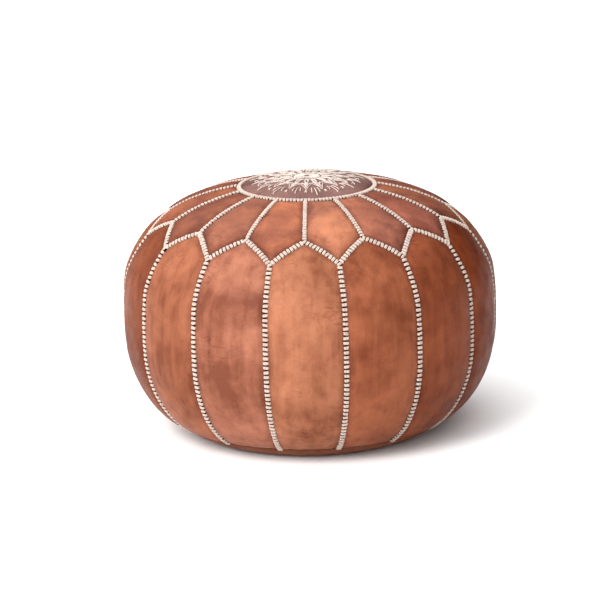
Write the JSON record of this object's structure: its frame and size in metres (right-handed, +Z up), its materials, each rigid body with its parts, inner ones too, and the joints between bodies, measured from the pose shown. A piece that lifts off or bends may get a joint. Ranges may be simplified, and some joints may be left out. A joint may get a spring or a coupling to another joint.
{
  "type": "leather pouf",
  "caption": "Round stuffed leather pouf with pointed top panels round an embroidered medallion, tapered side panels, hand-stitched seams and a zipped base.",
  "frame": {"origin": "middle of the flat base, on the surface that the pouf stands on", "axes": "+Z up through the medallion; -Y is the front, where a radial seam of the top lies; +X along the zip towards its closed end"},
  "size_m": [0.508, 0.5088, 0.3556],
  "materials": {
    "top_leather": "hand-dyed, satin",
    "side_leather": "hand-dyed, satin",
    "base_leather": "hand-dyed, matte",
    "cotton_thread": "matte",
    "zip_tape": "woven, matte",
    "zip_metal": "aged",
    "liner_cotton": "matte",
    "filling_cotton": "matte"
  },
  "bodies": {
    "pouf": {"top_panel_01": "top_leather", "top_panel_02": "top_leather", "top_panel_03": "top_leather", "top_panel_04": "top_leather", "top_panel_05": "top_leather", "top_panel_06": "top_leather", "top_panel_07": "top_leather", "top_panel_08": "top_leather", "top_panel_09": "top_leather", "top_panel_10": "top_leather", "top_panel_11": "top_leather", "top_panel_12": "top_leather", "top_panel_13": "top_leather", "top_panel_14": "top_leather", "top_panel_15": "top_leather", "medallion": "top_leather", "medallion_embroidery": "cotton_thread", "side_panel_01": "side_leather", "side_panel_02": "side_leather", "side_panel_03": "side_leather", "side_panel_04": "side_leather", "side_panel_05": "side_leather", "side_panel_06": "side_leather", "side_panel_07": "side_leather", "side_panel_08": "side_leather", "side_panel_09": "side_leather", "side_panel_10": "side_leather", "side_panel_11": "side_leather", "side_panel_12": "side_leather", "side_panel_13": "side_leather", "side_panel_14": "side_leather", "side_panel_15": "side_leather", "base_panel_front": "base_leather", "base_panel_back": "base_leather", "stitching_medallion_ring": "cotton_thread", "stitching_radial": "cotton_thread", "stitching_zigzag": "cotton_thread", "stitching_side": "cotton_thread", "cotton_liner": "liner_cotton", "filling": "filling_cotton", "zip_tape_front": "zip_tape", "zip_tape_back": "zip_tape", "zip_teeth_front": "zip_metal", "zip_teeth_back": "zip_metal", "zip_bottom_stop": "zip_metal", "zip_top_stops": "zip_metal"},
    "slider": {"zip_slider": "zip_metal"},
    "pull": {"zip_pull": "zip_metal"}
  },
  "joints": [
    {"name": "zip_slide", "type": "slide", "parent": "pouf", "child": "slider", "axis": [-1, 0, 0], "range_m": [0, 0.236]},
    {"name": "pull_swing", "type": "hinge", "parent": "slider", "child": "pull", "pos_m": [0.118, 0, 0.00295], "axis": [0, -1, 0], "range_deg": [0, 170]}
  ]
}
